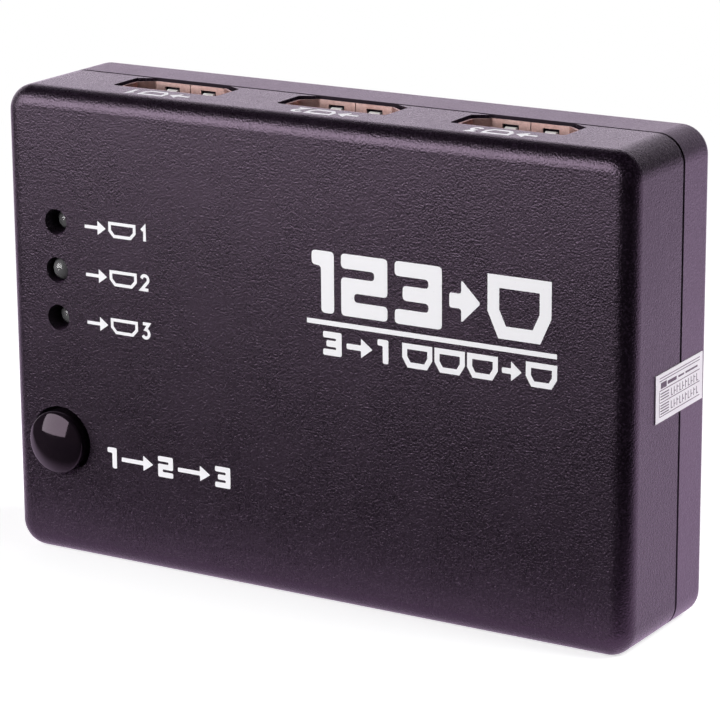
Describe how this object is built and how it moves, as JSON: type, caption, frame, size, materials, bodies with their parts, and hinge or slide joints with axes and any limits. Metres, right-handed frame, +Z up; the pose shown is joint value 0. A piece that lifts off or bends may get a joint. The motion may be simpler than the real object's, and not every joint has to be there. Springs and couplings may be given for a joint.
{
  "type": "hdmi switch box",
  "caption": "Small box that switches one of several video inlets to one outlet, with a push button and status lamps.",
  "frame": {"origin": "middle of the footprint of the whole box, with the button's reach counted in, on the outlet side that it stands on", "axes": "+X along the labelled front to its right-hand end, +Y from the front to the back, +Z up to the side with the inlets"},
  "size_m": [0.0881, 0.0224, 0.0604],
  "materials": {
    "shell_plastic": "fine grained, dull",
    "button_plastic": "smooth and glossy",
    "lens_clear": "clear moulded epoxy",
    "lead_metal": "bright tin plate",
    "sleeve_metal": "dull plated sheet metal, warm",
    "insulator_plastic": "smooth moulded",
    "contact_gold": "thin gold plate",
    "screw_steel": "zinc plated",
    "board_laminate": "green solder mask",
    "seal_paper": "matt coated paper",
    "chip_plastic": "moulded, fine texture",
    "can_sleeve": "shrunk sleeve",
    "ceramic_chip": "fired",
    "switch_plastic": "moulded",
    "switch_steel": "stamped sheet"
  },
  "bodies": {
    "case": {"back_shell": "shell_plastic", "capacitor_cans": "can_sleeve", "capacitor_leads": "lead_metal", "case_screws": "screw_steel", "chip_capacitors": "ceramic_chip", "chip_resistors": "ceramic_chip", "circuit_board": "board_laminate", "control_chip_body": "chip_plastic", "control_chip_pins": "lead_metal", "eye_jack_housing": "insulator_plastic", "eye_jack_sleeve": "lead_metal", "eye_jack_terminals": "lead_metal", "front_shell": "shell_plastic", "input_socket_1_contacts": "contact_gold", "input_socket_1_insulator": "insulator_plastic", "input_socket_1_sleeve": "sleeve_metal", "input_socket_2_contacts": "contact_gold", "input_socket_2_insulator": "insulator_plastic", "input_socket_2_sleeve": "sleeve_metal", "input_socket_3_contacts": "contact_gold", "input_socket_3_insulator": "insulator_plastic", "input_socket_3_sleeve": "sleeve_metal", "lamp_1_leads": "lead_metal", "lamp_1_lens": "lens_clear", "lamp_2_leads": "lead_metal", "lamp_2_lens": "lens_clear", "lamp_3_leads": "lead_metal", "lamp_3_lens": "lens_clear", "output_socket_contacts": "contact_gold", "output_socket_insulator": "insulator_plastic", "output_socket_sleeve": "sleeve_metal", "power_jack_housing": "insulator_plastic", "power_jack_pin": "lead_metal", "power_jack_terminals": "lead_metal", "regulator_body": "chip_plastic", "regulator_pins": "lead_metal", "seal_label": "seal_paper", "switch_base": "switch_plastic", "switch_chip_body": "chip_plastic", "switch_chip_pins": "lead_metal", "switch_cover": "switch_steel", "switch_dome": "switch_steel", "switch_terminals": "lead_metal"},
    "button": {"button_cap": "button_plastic", "switch_plunger": "switch_plastic"}
  },
  "joints": [
    {"name": "button_press", "type": "slide", "parent": "case", "child": "button", "axis": [0, 1, 0], "range_m": [0, 0.0003], "stiffness_N_per_m": 1500, "springref_m": -0.0006}
  ]
}
